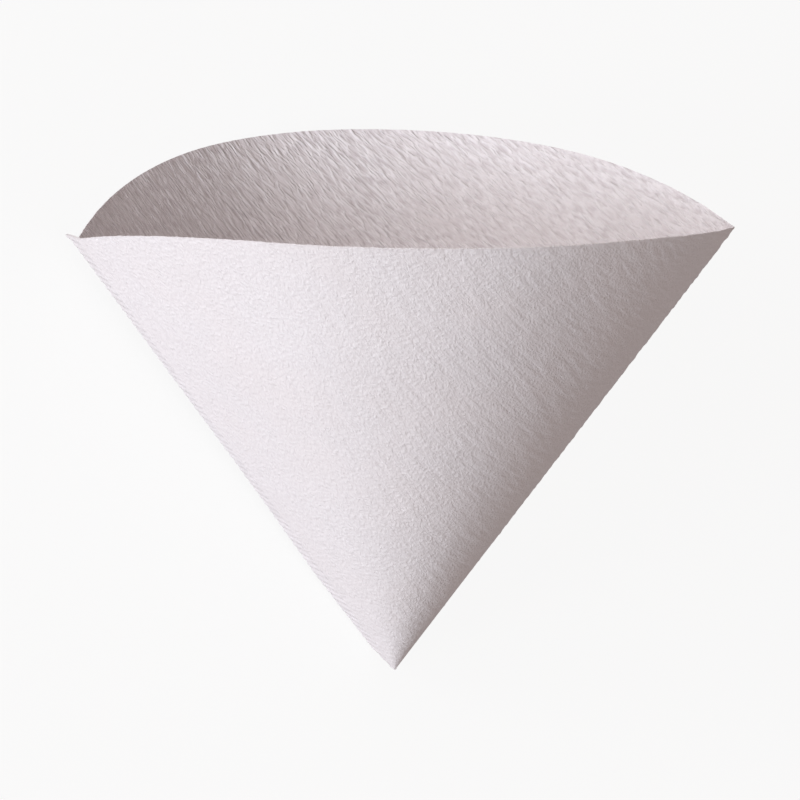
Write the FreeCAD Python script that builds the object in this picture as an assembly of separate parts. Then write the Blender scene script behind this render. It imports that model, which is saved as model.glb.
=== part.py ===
import FreeCAD, Part
import math
import os

# A paper coffee filter for a cone-shaped dripper, opened out and lying on its back.
# It is one sheet of creped paper, folded in half into two quarter-circle panels.
# The fold is one side of the pocket. On the other side a crimped strip joins the two free edges.
# Lengths are in millimetres and angles in degrees.

from FreeCAD import Matrix, Vector

# The sheet: from its tip to its rim along the paper, and how thick the paper is
slant_length = 125.0
paper_thickness = 0.25

# The pocket, held open: from its centre line out to the seam, and the same to the fold
mouth_half_angle = 35.8

# Each panel's bow, seen into the mouth: the angle at which it leaves the seam and the fold,
# and how far it keeps that direction before it curves across
back_angle_at_seam = 53.7
back_angle_at_fold = 55.4
back_reach_at_seam = 67.3
back_reach_at_fold = 98.9
front_angle_at_seam = 56.5
front_angle_at_fold = 66.1
front_reach_at_seam = 107.5
front_reach_at_fold = 42.4

# The crimped strip: the two layers pressed into ridges across it, and folded towards the back panel.
# It is turned out by a few degrees from straight back.
strip_width = 8.0
strip_thickness = 0.5
strip_turn = 10.5
crimp_pitch = 2.0
crimp_depth = 0.2

# How the opened filter comes to rest: rolled about its centre line, onto the seam's side of its back
rest_roll = 33.8

# Worked out from the sizes above
half_angle = math.radians(mouth_half_angle)
corner_reach = slant_length * math.sin(half_angle)
corner_height = slant_length * math.cos(half_angle)
plane_height = slant_length
tip = Vector(0.0, 0.0, 0.0)
along_seam = Vector(-math.sin(half_angle), 0.0, math.cos(half_angle))
straight_back = Vector(0.0, 1.0, 0.0)
straight_out = along_seam.cross(straight_back)
across_strip = (straight_back * math.cos(math.radians(strip_turn))
                + straight_out * math.sin(math.radians(strip_turn)))
into_strip = across_strip.cross(along_seam)


def bow(side, seam_angle, fold_angle, seam_reach, fold_reach):
    # The curve along which a level plane above the rim cuts a panel, from its four poles.
    seam = math.radians(seam_angle)
    fold = math.radians(fold_angle)
    poles = [
        (-corner_reach, 0.0),
        (-corner_reach + seam_reach * math.cos(seam), side * seam_reach * math.sin(seam)),
        (corner_reach - fold_reach * math.cos(fold), side * fold_reach * math.sin(fold)),
        (corner_reach, 0.0),
    ]
    to_plane = plane_height / corner_height
    curve = Part.BezierCurve()
    curve.setPoles([Vector(x * to_plane, y * to_plane, plane_height) for x, y in poles])
    return curve


def cone(bottom, mouth):
    return Part.makeLoft([Part.Vertex(bottom), mouth], True, True)


def crimped_strip():
    # Its long section is a zigzag, ridge after ridge along the seam, with the same thickness all the way.
    # It runs a little past the rim, so that the rim's arc cuts it too.
    ridges = math.ceil(slant_length / crimp_pitch) + 1
    outer_line = []
    for half_ridge in range(2 * ridges + 1):
        depth = crimp_depth * (half_ridge % 2) + 0.1 * paper_thickness
        outer_line.append(along_seam * (half_ridge * crimp_pitch / 2.0) + into_strip * depth)
    inner_line = [point + into_strip * strip_thickness for point in reversed(outer_line)]
    section = Part.makePolygon(outer_line + inner_line + outer_line[:1])
    return Part.Face(section).extrude(across_strip * strip_width)


def folded_sheet(back, front):
    # Two cones over one lens-shaped mouth, with the paper between them, and the strip along the seam.
    # The rim lies on a ball about the tip, because on the flat sheet it is an arc about the tip.
    mouth = Part.Wire([back.toShape(), front.toShape()])
    slope = math.atan(1.07 * max(point.y for point in back.discretize(60)) / plane_height)
    inner_mouth = mouth.makeOffset2D(-paper_thickness / math.cos(slope), 2)
    inner_tip = Vector(0.0, 0.0, paper_thickness / math.sin(slope))
    outside = cone(tip, mouth).fuse(crimped_strip())
    ball = Part.makeSphere(slant_length)
    return outside.cut(cone(inner_tip, inner_mouth)).common(ball).removeSplitter()


def lowest(points, lean):
    return min(point.z * math.sin(lean) - point.y * math.cos(lean) for point in points)


def rest_lean(tip_points, rim_points):
    # How far the centre line rises from the floor when the strip's end and the rim both touch it.
    low = 0.0
    high = math.radians(60.0)
    for _ in range(50):
        lean = (low + high) / 2.0
        if lowest(rim_points, lean) < lowest(tip_points, lean):
            low = lean
        else:
            high = lean
    return lean


def lay_down(sheet, back):
    # Rolled about its centre line, then laid back with its mouth towards +Y, then stood on the floor.
    roll = FreeCAD.Rotation(Vector(0.0, 0.0, 1.0), -rest_roll)
    strip_end = [tip, across_strip * strip_width, (across_strip * strip_width) + into_strip * strip_thickness]
    tip_points = [roll.multVec(point) for point in strip_end]
    rim_points = [roll.multVec(point.normalize() * slant_length) for point in back.discretize(400)]
    lean = rest_lean(tip_points, rim_points)
    c = math.cos(lean)
    s = math.sin(lean)
    laid = sheet.copy()
    laid.rotate(tip, Vector(0.0, 0.0, 1.0), -rest_roll)
    laid.transformShape(Matrix(1, 0, 0, 0, 0, s, c, 0, 0, -c, s, 0, 0, 0, 0, 1))
    box = laid.optimalBoundingBox(False, False)
    move = Vector(-box.Center.x, -box.Center.y, -box.ZMin)
    laid.translate(move)
    print("centre line above the floor", round(math.degrees(lean), 4))
    print("tip at", round(move.x, 4), round(move.y, 4), round(move.z, 4))
    print("size", round(box.XLength, 2), round(box.YLength, 2), round(box.ZLength, 2))
    return laid


back_bow = bow(1.0, back_angle_at_seam, back_angle_at_fold, back_reach_at_seam, back_reach_at_fold)
front_bow = bow(-1.0, front_angle_at_seam, front_angle_at_fold, front_reach_at_seam, front_reach_at_fold)
filter_paper = lay_down(folded_sheet(back_bow, front_bow), back_bow)

os.makedirs("parts", exist_ok=True)
filter_paper.exportStep("parts/filter_paper.step")
print("valid", filter_paper.isValid(), "solids", len(filter_paper.Solids), "volume", round(filter_paper.Volume, 1))
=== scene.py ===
import math
import bmesh
import bpy
from mathutils import Matrix, Vector, noise


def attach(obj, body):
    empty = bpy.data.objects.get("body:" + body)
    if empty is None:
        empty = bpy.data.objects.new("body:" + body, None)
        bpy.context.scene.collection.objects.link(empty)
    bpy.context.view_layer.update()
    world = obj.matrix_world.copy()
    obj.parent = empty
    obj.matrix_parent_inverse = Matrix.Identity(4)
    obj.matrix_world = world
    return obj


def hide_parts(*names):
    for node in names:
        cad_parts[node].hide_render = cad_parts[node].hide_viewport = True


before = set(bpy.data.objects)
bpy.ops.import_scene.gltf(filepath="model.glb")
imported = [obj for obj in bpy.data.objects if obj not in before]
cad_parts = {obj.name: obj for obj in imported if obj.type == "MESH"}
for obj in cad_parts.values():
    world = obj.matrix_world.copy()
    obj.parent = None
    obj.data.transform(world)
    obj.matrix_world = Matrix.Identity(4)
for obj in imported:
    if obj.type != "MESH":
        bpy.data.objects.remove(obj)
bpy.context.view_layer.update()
print("frame loaded")

mm = 0.001
upright = Vector((0, 0, 1))
straightBack = Vector((0, 1, 0))

# The pocket that the folded sheet makes: from tip to rim, and from its centre line out to the seam or fold
pocket = {
    "slant": 125 * mm,
    "halfAngle": 35.8,
    "panelAngle": 90,
    "creaseAngle": 35,  # faces that meet more sharply than this are shaded with an edge
}

# How the opened filter lies on the floor, and where its tip is.
# The crepe stands a little proud of the smooth solid, so the tip is 0.25 mm higher than the solid's.
rest = {
    "roll": 33.8,
    "lean": 23.9276,
    "tip": Vector((0.0583, -62.4176, 7.17)) * mm,
}

slant = pocket["slant"]
halfAngle = math.radians(pocket["halfAngle"])
alongSeam = Vector((-math.sin(halfAngle), 0, math.cos(halfAngle)))
alongFold = Vector((math.sin(halfAngle), 0, math.cos(halfAngle)))
straightOut = alongSeam.cross(straightBack)
lean = math.radians(rest["lean"])
layDown = Matrix(((1, 0, 0), (0, math.sin(lean), math.cos(lean)), (0, -math.cos(lean), math.sin(lean))))
rowTurn = layDown @ Matrix.Rotation(math.radians(-rest["roll"]), 3, "Z")


def inRow(point):
    # From the upright pocket, tip at the origin, to where it lies on the floor
    return rest["tip"] + rowTurn @ point


def clamped(share):
    return min(max(share, 0), 1)


def eased(share):
    share = clamped(share)
    return share * share * (3 - 2 * share)


def smoothNoise(across, along, layer):
    return noise.noise(Vector((across, along, layer)))


def colour(code):
    values = [int(code[start:start + 2], 16) / 255 for start in (1, 3, 5)]
    return [v / 12.92 if v <= 0.04045 else ((v + 0.055) / 1.055) ** 2.4 for v in values] + [1]


def addNode(tree, kind, settings, links):
    node = tree.nodes.new(kind)
    for name, value in settings.items():
        if isinstance(name, int) or name in node.inputs:
            node.inputs[name].default_value = value
        else:
            setattr(node, name, value)
    for name, source in links.items():
        tree.links.new(source, node.inputs[name])
    return node


def newMaterial(name):
    material = bpy.data.materials.new(name)
    material.use_nodes = True
    material.node_tree.nodes.clear()
    return material, material.node_tree


def addObject(name, data):
    made = bpy.data.objects.new(name, data)
    bpy.context.scene.collection.objects.link(made)
    return made


# Creped filter paper, bleached, a little pink. What gives it the eye: dull fibres, fine crepe lines,
# painted shade in the valleys between the ridges, and a faint glow of light through the sheet.
# Widths run across the ridges and lengths along them, all in millimetres.
# Single fibres are too fine to show, so the grain is drawn as coarse as small tufts of them.
outsideLook = {
    "ridgeWidth": 0.55,
    "ridgeLength": 0.9,
    "ridgeDepth": 0.26,
    "grooveDepth": 0.01,
    # The next colour is painted shade, darker paper in the valleys between the ridges.
    "valleyPaintedShade": "#eae4e7",
    "crest": "#f0ebee",
}
insideLook = {
    "ridgeWidth": 0.8,
    "ridgeLength": 3.1,
    "ridgeDepth": 0.74,
    "grooveDepth": 0.05,
    # The next colour is painted shade, darker paper in the valleys between the ridges.
    "valleyPaintedShade": "#e0d8db",
    # The inside's crest colour is painted light, lighter than the paper's own colour on the outside.
    "crest": "#fbf6f9",
}
bothSides = {
    "grainWidth": 0.3,
    "grainLength": 0.42,
    "grainDepth": 0.06,
    "cloudWidth": 17,
    "cloudLength": 26,
    "cloud": "#efe8ea",
    "fleckWidth": 0.5,
    "fleckLength": 0.9,
    "fleck": "#e0d8da",
    "glow": 0.1,
}


def paperMaterial(name, look):
    material, tree = newMaterial(name)
    flat = addNode(tree, "ShaderNodeUVMap", {"uv_map": "flatSheet"}, {}).outputs["UV"]

    def pattern(width, length, detail):
        scaled = addNode(tree, "ShaderNodeVectorMath",
                         {"operation": "MULTIPLY", 1: (1 / width, 1 / length, 0)}, {0: flat})
        made = addNode(tree, "ShaderNodeTexNoise",
                       {"Scale": 1, "Detail": detail, "Roughness": 0.5, "Distortion": 0.4},
                       {"Vector": scaled.outputs[0]})
        return made.outputs["Fac"]

    def calculated(operation, value, links):
        return addNode(tree, "ShaderNodeMath", {"operation": operation, 1: value}, links).outputs[0]

    def stretched(source, settings):
        return addNode(tree, "ShaderNodeMapRange", settings, {"Value": source}).outputs["Result"]

    def mixed(settings, links):
        return addNode(tree, "ShaderNodeMix", {"data_type": "RGBA", **settings}, links).outputs[2]

    ridges = pattern(look["ridgeWidth"], look["ridgeLength"], 1.5)
    grain = pattern(bothSides["grainWidth"], bothSides["grainLength"], 2)
    clouds = pattern(bothSides["cloudWidth"], bothSides["cloudLength"], 2)
    flecks = pattern(bothSides["fleckWidth"], bothSides["fleckLength"], 1)

    # Narrow grooves wander along the ridges' feet.
    fromGroove = calculated("ABSOLUTE", 0, {0: calculated("SUBTRACT", 0.5, {0: ridges})})
    groove = stretched(fromGroove, {"interpolation_type": "SMOOTHSTEP", "From Max": 0.07})
    height = calculated("MULTIPLY", look["grooveDepth"] * mm, {0: groove})
    height = calculated("MULTIPLY_ADD", look["ridgeDepth"] * mm, {0: ridges, 2: height})
    height = calculated("MULTIPLY_ADD", bothSides["grainDepth"] * mm, {0: grain, 2: height})
    bump = addNode(tree, "ShaderNodeBump", {"Strength": 1, "Distance": 1}, {"Height": height}).outputs[0]

    # Painted shade: the ridge pattern darkens the colour towards the valley tone between the ridges.
    paintedValleyShade = stretched(ridges, {"From Min": 0.33, "From Max": 0.55})
    tone = mixed({6: colour(look["valleyPaintedShade"]), 7: colour(look["crest"])}, {0: paintedValleyShade})
    share = stretched(clouds, {"From Min": 0.35, "From Max": 0.65, "To Max": 0.5})
    tone = mixed({7: colour(bothSides["cloud"])}, {0: share, 6: tone})
    share = stretched(flecks, {"From Min": 0.62, "From Max": 0.75, "To Max": 0.25})
    tone = mixed({7: colour(bothSides["fleck"])}, {0: share, 6: tone})

    dull = {"Roughness": 0.88, "Specular IOR Level": 0.2, "Sheen Weight": 0.08, "Sheen Roughness": 0.6}
    paper = addNode(tree, "ShaderNodeBsdfPrincipled", dull, {"Base Color": tone, "Normal": bump})
    through = addNode(tree, "ShaderNodeBsdfTranslucent", {}, {"Color": tone, "Normal": bump})
    both = addNode(tree, "ShaderNodeMixShader", {0: bothSides["glow"]},
                   {1: paper.outputs[0], 2: through.outputs[0]})
    addNode(tree, "ShaderNodeOutputMaterial", {}, {"Surface": both.outputs[0]})
    return material


outsidePaper = paperMaterial("creped_paper_outside", outsideLook)
insidePaper = paperMaterial("creped_paper_inside", insideLook)
print("paper materials made")


def frameOf(first, second):
    across = first.cross(second).normalized()
    return Matrix((first, across.cross(first), across)).transposed()


def runOfCones(cones, line, inward):
    # Each stretch turns about its cone's axis to the line where the next one starts.
    stretches = []
    start = 0
    for cone, span in cones:
        angle = math.radians(cone)
        axis = line * math.cos(angle) + inward * math.sin(angle)
        stretches.append((start, math.sin(angle), axis, line, inward))
        turn = Matrix.Rotation(math.radians(span) / math.sin(angle), 3, axis)
        line = turn @ line
        inward = turn @ inward
        start += span
    return stretches, line


def placedRun(cones, firstSide, lastSide):
    # The run is made upright first, and then turned so that its two sides lie on the pocket's.
    inward = -straightBack
    lastLine = runOfCones(cones, upright, inward)[1]
    turn = frameOf(firstSide, lastSide) @ frameOf(upright, lastLine).transposed()
    return runOfCones(cones, firstSide, turn @ inward)[0]


def lineAt(stretches, degrees):
    # The line from the tip at that angle on the flat sheet, and the direction into the pocket there
    start, sine, axis, line, inward = [s for s in stretches if s[0] <= degrees + 1e-6][-1]
    turn = Matrix.Rotation(math.radians(degrees - start) / sine, 3, axis)
    return turn @ line, turn @ inward


def panelLine(stretches, side, x, y):
    fromSeam = math.degrees(math.atan2(x, y)) if x > 0 or y > 0 else pocket["panelAngle"] / 2
    return lineAt(stretches, fromSeam if side > 0 else pocket["panelAngle"] - fromSeam)


# The folded sheet: two quarter-circle panels that meet at the seam and at the fold.
# Each panel is a run of right cones about the tip: (half angle of the cone, part of the panel's 90 degrees).
panels = {
    "thickness": 0.25 * mm,
    "frontCones": [(53.8, 22.5), (33.575, 37.0), (40.7, 30.5)],  # from the seam to the fold
    "backCones": [(62.6, 24.2), (30.105, 39.4), (58.6, 26.4)],  # from the fold to the seam
    "columns": 320,
    "rows": 64,
    "rowsTowardsFold": 1.35,  # above 1, rows lie closer together near the fold and the tip
    "weld": 0.02 * mm,
}

# The crepe that stands in the geometry. Its ridges run along the seam's direction on the flat sheet.
crepe = {
    "depth": 0.19 * mm,
    "ridgeWidth": 0.9 * mm,
    "ridgeLength": 4.0 * mm,
    "ridgeLayer": 2.7,
    "wander": 1.1 * mm,
    "wanderWidth": 33 * mm,
    "wanderLength": 11 * mm,
    "wanderLayer": 5.3,
    "sway": 0.22 * mm,
    "swayLength": 24 * mm,
    "swayLayer": 8.1,
    "quietEdge": 2.2 * mm,
    "quietTip": 14 * mm,
}


def crepeHeight(x, y):
    # x is the distance from the seam on the flat sheet, and y the distance from the fold.
    wander = crepe["wander"] * smoothNoise(x / crepe["wanderWidth"], y / crepe["wanderLength"],
                                           crepe["wanderLayer"])
    ridge = smoothNoise((x + wander) / crepe["ridgeWidth"], y / crepe["ridgeLength"], crepe["ridgeLayer"])
    quiet = eased(x / crepe["quietEdge"]) * eased(abs(y) / crepe["quietEdge"])
    quiet *= eased(math.hypot(x, y) / crepe["quietTip"])
    sway = smoothNoise(x / crepe["swayLength"], y / crepe["swayLength"], crepe["swayLayer"])
    calm = eased(x / crepe["quietTip"]) * eased(abs(y) / crepe["quietTip"])
    return crepe["depth"] * ridge * quiet + crepe["sway"] * sway * calm


def newMesh():
    # Each point keeps its place on the flat sheet, in millimetres, which becomes its texture coordinate.
    mesh = bmesh.new()
    return mesh, mesh.verts.layers.float_vector.new("flatSpot"), mesh.loops.layers.uv.new("flatSheet")


def mapFaces(faces, flatSpot, flatSheet):
    for face in faces:
        for loop in face.loops:
            loop[flatSheet].uv = loop.vert[flatSpot][:2]


def addPanel(mesh, flatSpot, flatSheet, stretches, side):
    # side is 1 for the front panel and -1 for the back one, on the far side of the fold.
    before = len(mesh.faces)
    made = bmesh.ops.create_grid(mesh, x_segments=panels["columns"], y_segments=panels["rows"], size=0.5)
    for vert in made["verts"]:
        x = clamped(vert.co.x + 0.5) * slant
        columnHeight = math.sqrt(max(slant * slant - x * x, 0))
        y = clamped(vert.co.y + 0.5) ** panels["rowsTowardsFold"] * columnHeight
        line, inward = panelLine(stretches, side, x, y)
        vert[flatSpot] = (x / mm, side * y / mm, 0)
        vert.co = inRow(line * math.hypot(x, y) - inward * crepeHeight(x, side * y))
    mesh.faces.ensure_lookup_table()
    faces = mesh.faces[before:]
    mapFaces(faces, flatSpot, flatSheet)
    middle = faces[len(faces) // 2]
    middle.normal_update()
    place = middle.verts[0][flatSpot]
    inward = rowTurn @ panelLine(stretches, side, place[0], abs(place[1]))[1]
    if middle.normal.dot(inward) > 0:
        bmesh.ops.reverse_faces(mesh, faces=faces)


def finishPiece(mesh, name, thickness, materials):
    creaseAngle = math.radians(pocket["creaseAngle"])
    for face in mesh.faces:
        face.smooth = True
    for edge in mesh.edges:
        edge.smooth = len(edge.link_faces) == 2 and edge.calc_face_angle() < creaseAngle
    data = bpy.data.meshes.new(name)
    mesh.to_mesh(data)
    mesh.free()
    piece = addObject(name, data)
    for material in materials:
        data.materials.append(material)
    wall = piece.modifiers.new("paperThickness", "SOLIDIFY")
    wall.thickness = thickness
    wall.offset = -1
    wall.material_offset = len(materials) - 1
    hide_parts("filter_paper")
    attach(piece, "root")


sheet, sheetSpot, sheetMap = newMesh()
addPanel(sheet, sheetSpot, sheetMap, placedRun(panels["frontCones"], alongSeam, alongFold), 1)
addPanel(sheet, sheetSpot, sheetMap, placedRun(panels["backCones"], alongFold, alongSeam), -1)
bmesh.ops.remove_doubles(sheet, verts=sheet.verts, dist=panels["weld"])
finishPiece(sheet, "folded_sheet", panels["thickness"], [outsidePaper, insidePaper])
print("folded sheet made")

# The strip where the two free edges are crimped together
strip = {
    "width": 8 * mm,
    "thickness": 0.5 * mm,
    "turn": 10.5,
    "flare": 1.5,
    "flareLength": 2.2 * mm,
    "corner": 1.0 * mm,
    "swell": 3.2,
    "swellFromTip": 28 * mm,
    "swellLength": 17 * mm,
    "crimpPitch": 2 * mm,
    "crimpDepth": 0.22 * mm,
    "crimpShare": 0.75,  # of that depth on average, more or less by half the ripple
    "rippleShare": 0.5,
    "rippleLength": 5 * mm,
    "rippleWidth": 6 * mm,
    "rippleLayer": 1.9,
    "edgeWave": 0.14 * mm,
    "edgeWaveLength": 1.3 * mm,
    "edgeLine": 4.4,
    "edgeLayer": 0.5,
    "endLength": 5 * mm,
    "endShare": 0.35,  # of the strip's width, at the tip
    "columns": 12,
    "rows": 500,
}


def stripDirections(reach):
    # Straight back from the seam and a few degrees outward, a little more at the rim and nearer the tip
    flare = strip["flare"] * eased(1 - (slant - reach) / strip["flareLength"])
    swell = strip["swell"] * math.exp(-((reach - strip["swellFromTip"]) / strip["swellLength"]) ** 2)
    turn = math.radians(strip["turn"] + flare + swell)
    across = straightBack * math.cos(turn) + straightOut * math.sin(turn)
    return across, across.cross(alongSeam)


def stripSpot(along, across):
    # along runs from the tip to the rim, and across from the seam to the strip's free edge, both 0 to 1.
    endShare = strip["endShare"] + (1 - strip["endShare"]) * eased(along * slant / strip["endLength"])
    edge = strip["edgeWave"] * smoothNoise(along * slant / strip["edgeWaveLength"], strip["edgeLine"],
                                           strip["edgeLayer"])
    corner = strip["corner"] * eased(1 - (1 - along) * slant / strip["flareLength"])
    out = across * (strip["width"] * endShare + edge * across + corner)
    reach = along * math.sqrt(slant ** 2 - out ** 2)
    sideways, into = stripDirections(reach)
    wave = 0.5 - 0.5 * math.cos(2 * math.pi * reach / strip["crimpPitch"])
    ripple = smoothNoise(reach / strip["rippleLength"], out / strip["rippleWidth"], strip["rippleLayer"])
    depth = strip["crimpDepth"] * wave * (strip["crimpShare"] + strip["rippleShare"] * ripple)
    return reach, out, alongSeam * reach + sideways * out + into * depth


ribbon, ribbonSpot, ribbonMap = newMesh()
made = bmesh.ops.create_grid(ribbon, x_segments=strip["columns"], y_segments=strip["rows"], size=0.5)
for vert in made["verts"]:
    reach, out, spot = stripSpot(vert.co.y + 0.5, vert.co.x + 0.5)
    vert[ribbonSpot] = (-out / mm, reach / mm, 0)
    vert.co = inRow(spot)
mapFaces(ribbon.faces, ribbonSpot, ribbonMap)
ribbon.faces.ensure_lookup_table()
ribbon.normal_update()
if ribbon.faces[0].normal.dot(rowTurn @ stripDirections(0)[1]) > 0:
    bmesh.ops.reverse_faces(ribbon, faces=ribbon.faces)
finishPiece(ribbon, "seam_strip", strip["thickness"], [outsidePaper])
print("seam strip made")

# A pale floor, which keeps the shadow and looks nearly white to the camera
ground = {
    "tone": "#f4f4f4",
    "whiteShare": 0.9,
    "reach": 6,
}

floorMaterial, floorTree = newMaterial("pale_floor")
seen = addNode(floorTree, "ShaderNodeLightPath", {}, {}).outputs["Is Camera Ray"]
share = addNode(floorTree, "ShaderNodeMath", {"operation": "MULTIPLY", 1: ground["whiteShare"]}, {0: seen})
plain = addNode(floorTree, "ShaderNodeBsdfDiffuse", {"Color": colour(ground["tone"])}, {})
white = addNode(floorTree, "ShaderNodeEmission", {"Color": colour("#ffffff"), "Strength": 1}, {})
mixed = addNode(floorTree, "ShaderNodeMixShader", {},
                {0: share.outputs[0], 1: plain.outputs[0], 2: white.outputs[0]})
addNode(floorTree, "ShaderNodeOutputMaterial", {}, {"Surface": mixed.outputs[0]})
floorMesh = bmesh.new()
bmesh.ops.create_grid(floorMesh, x_segments=1, y_segments=1, size=ground["reach"])
floorData = bpy.data.meshes.new("floor")
floorMesh.to_mesh(floorData)
floorMesh.free()
floorData.materials.append(floorMaterial)
addObject("floor", floorData)
print("floor made")

# Two soft lamps on the photograph's left, the lower one cooler, and a warm even light all round.
# Directions are the upright pocket's: right, away from the camera, and up.
studio = {
    "lampSize": 0.45,
    "lampDistance": 1.5,
    "aimHeight": 0.05,
    "key": {"direction": (-0.75, -0.5, 0.45), "power": 9.5, "tint": "#ffffff"},
    "lowKey": {"direction": (-0.75, -0.66, 0.06), "power": 11.7, "tint": "#edf7ff"},
    "air": "#fff1eb",
    "airStrength": 0.385,
}


def addLamp(name):
    light = bpy.data.lights.new(name, "AREA")
    light.shape = "DISK"
    light.size = studio["lampSize"]
    light.energy = studio[name]["power"]
    light.color = colour(studio[name]["tint"])[:3]
    lamp = addObject(name, light)
    towards = (rowTurn @ Vector(studio[name]["direction"])).normalized()
    lamp.location = upright * studio["aimHeight"] + towards * studio["lampDistance"]
    lamp.rotation_euler = towards.to_track_quat("Z", "Y").to_euler()


addLamp("key")
addLamp("lowKey")
world = bpy.data.worlds.new("studio")
bpy.context.scene.world = world
world.use_nodes = True
world.node_tree.nodes.clear()
air = addNode(world.node_tree, "ShaderNodeBackground",
              {"Color": colour(studio["air"]), "Strength": studio["airStrength"]}, {})
addNode(world.node_tree, "ShaderNodeOutputWorld", {}, {"Surface": air.outputs[0]})
print("lights made")

# The photograph's view of the upright pocket: degrees, distances as shares of the slant length,
# and pixels in a picture of 800 by 800
photo = {
    "side": 800,
    "azimuth": -14.089,
    "elevation": 17.532,
    "roll": 2.449,
    "distance": 5.9974,
    "pixelsPerSlant": 567.719,
    "aimHeight": 0.45,
    "middle": (405.04, 431.97),
    "sensorWidth": 36,
    "nearest": 0.01,
}

# The camera stands where the photograph's did, round the pocket as it lies here.
azimuth = math.radians(photo["azimuth"])
elevation = math.radians(photo["elevation"])
rollAngle = math.radians(photo["roll"])
towardsCamera = Vector((math.sin(azimuth) * math.cos(elevation), -math.cos(azimuth) * math.cos(elevation),
                        math.sin(elevation)))
levelRight = Vector((math.cos(azimuth), math.sin(azimuth), 0))
levelUp = towardsCamera.cross(levelRight)
pictureRight = levelRight * math.cos(rollAngle) + levelUp * math.sin(rollAngle)
pictureUp = levelUp * math.cos(rollAngle) - levelRight * math.sin(rollAngle)
stand = (upright * photo["aimHeight"] + towardsCamera * photo["distance"]) * slant
lens = bpy.data.cameras.new("camera")
lens.sensor_width = photo["sensorWidth"]
lens.lens = photo["sensorWidth"] * photo["pixelsPerSlant"] * photo["distance"] / photo["side"]
lens.shift_x = (photo["side"] / 2 - photo["middle"][0]) / photo["side"]
lens.shift_y = (photo["middle"][1] - photo["side"] / 2) / photo["side"]
lens.clip_start = photo["nearest"]
camera = addObject("camera", lens)
axes = rowTurn @ Matrix((pictureRight, pictureUp, towardsCamera)).transposed()
camera.matrix_world = Matrix.Translation(inRow(stand)) @ axes.to_4x4()
bpy.context.scene.camera = camera
bpy.context.scene.view_settings.view_transform = "Standard"
print("camera placed")
